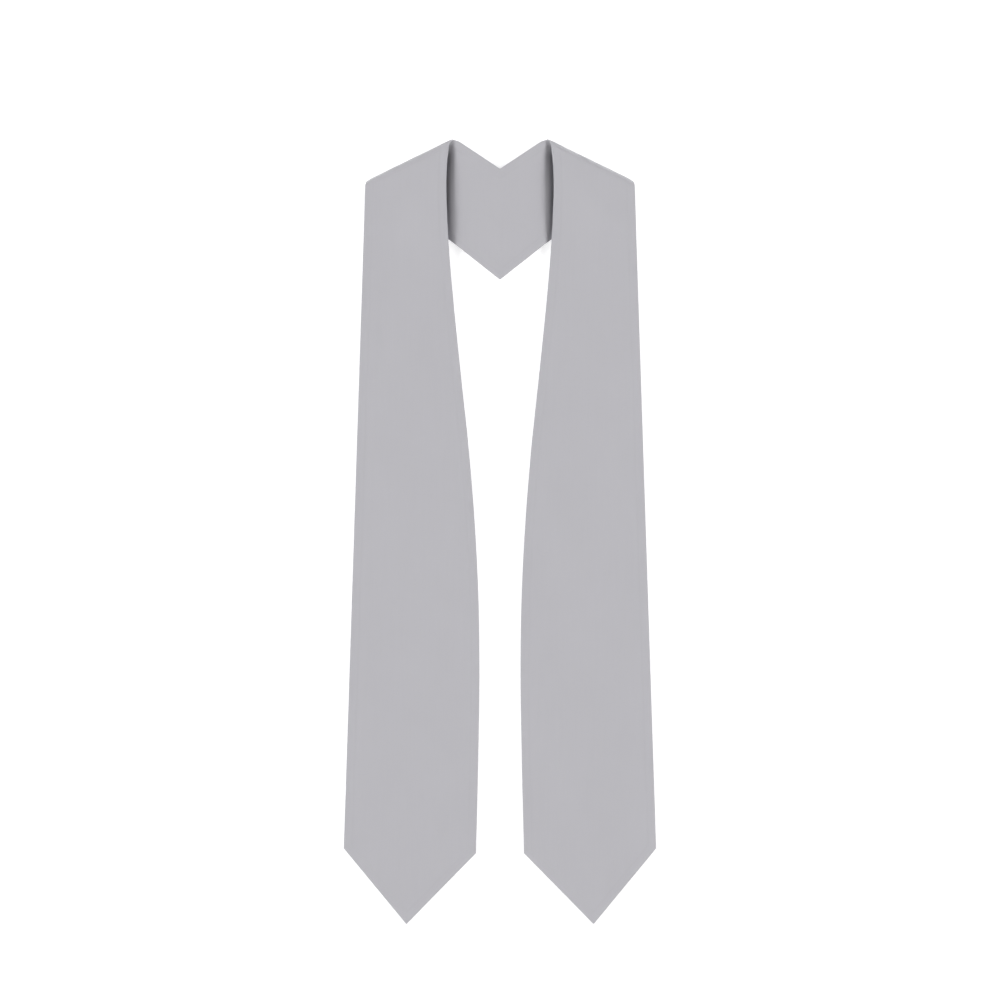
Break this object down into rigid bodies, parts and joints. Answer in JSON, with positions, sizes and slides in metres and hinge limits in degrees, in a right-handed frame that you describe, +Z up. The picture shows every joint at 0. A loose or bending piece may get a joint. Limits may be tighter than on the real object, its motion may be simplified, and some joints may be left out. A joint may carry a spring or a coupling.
{
  "type": "graduation stole",
  "caption": "Satin graduation stole laid flat: long fronts with pointed hems, folded forward at the shoulders over a V-shaped back neck panel.",
  "frame": {"origin": "on the table, under the middle of the stole's bounding box, between the two fronts", "axes": "+Y towards the neck, +X towards the right front as seen from above, +Z up from the table"},
  "size_m": [0.364, 0.9151, 0.0132],
  "materials": {
    "satin": "grey satin with a soft sheen"
  },
  "bodies": {
    "root": {"front_left": "satin", "front_right": "satin", "back_panel": "satin"}
  },
  "joints": []
}
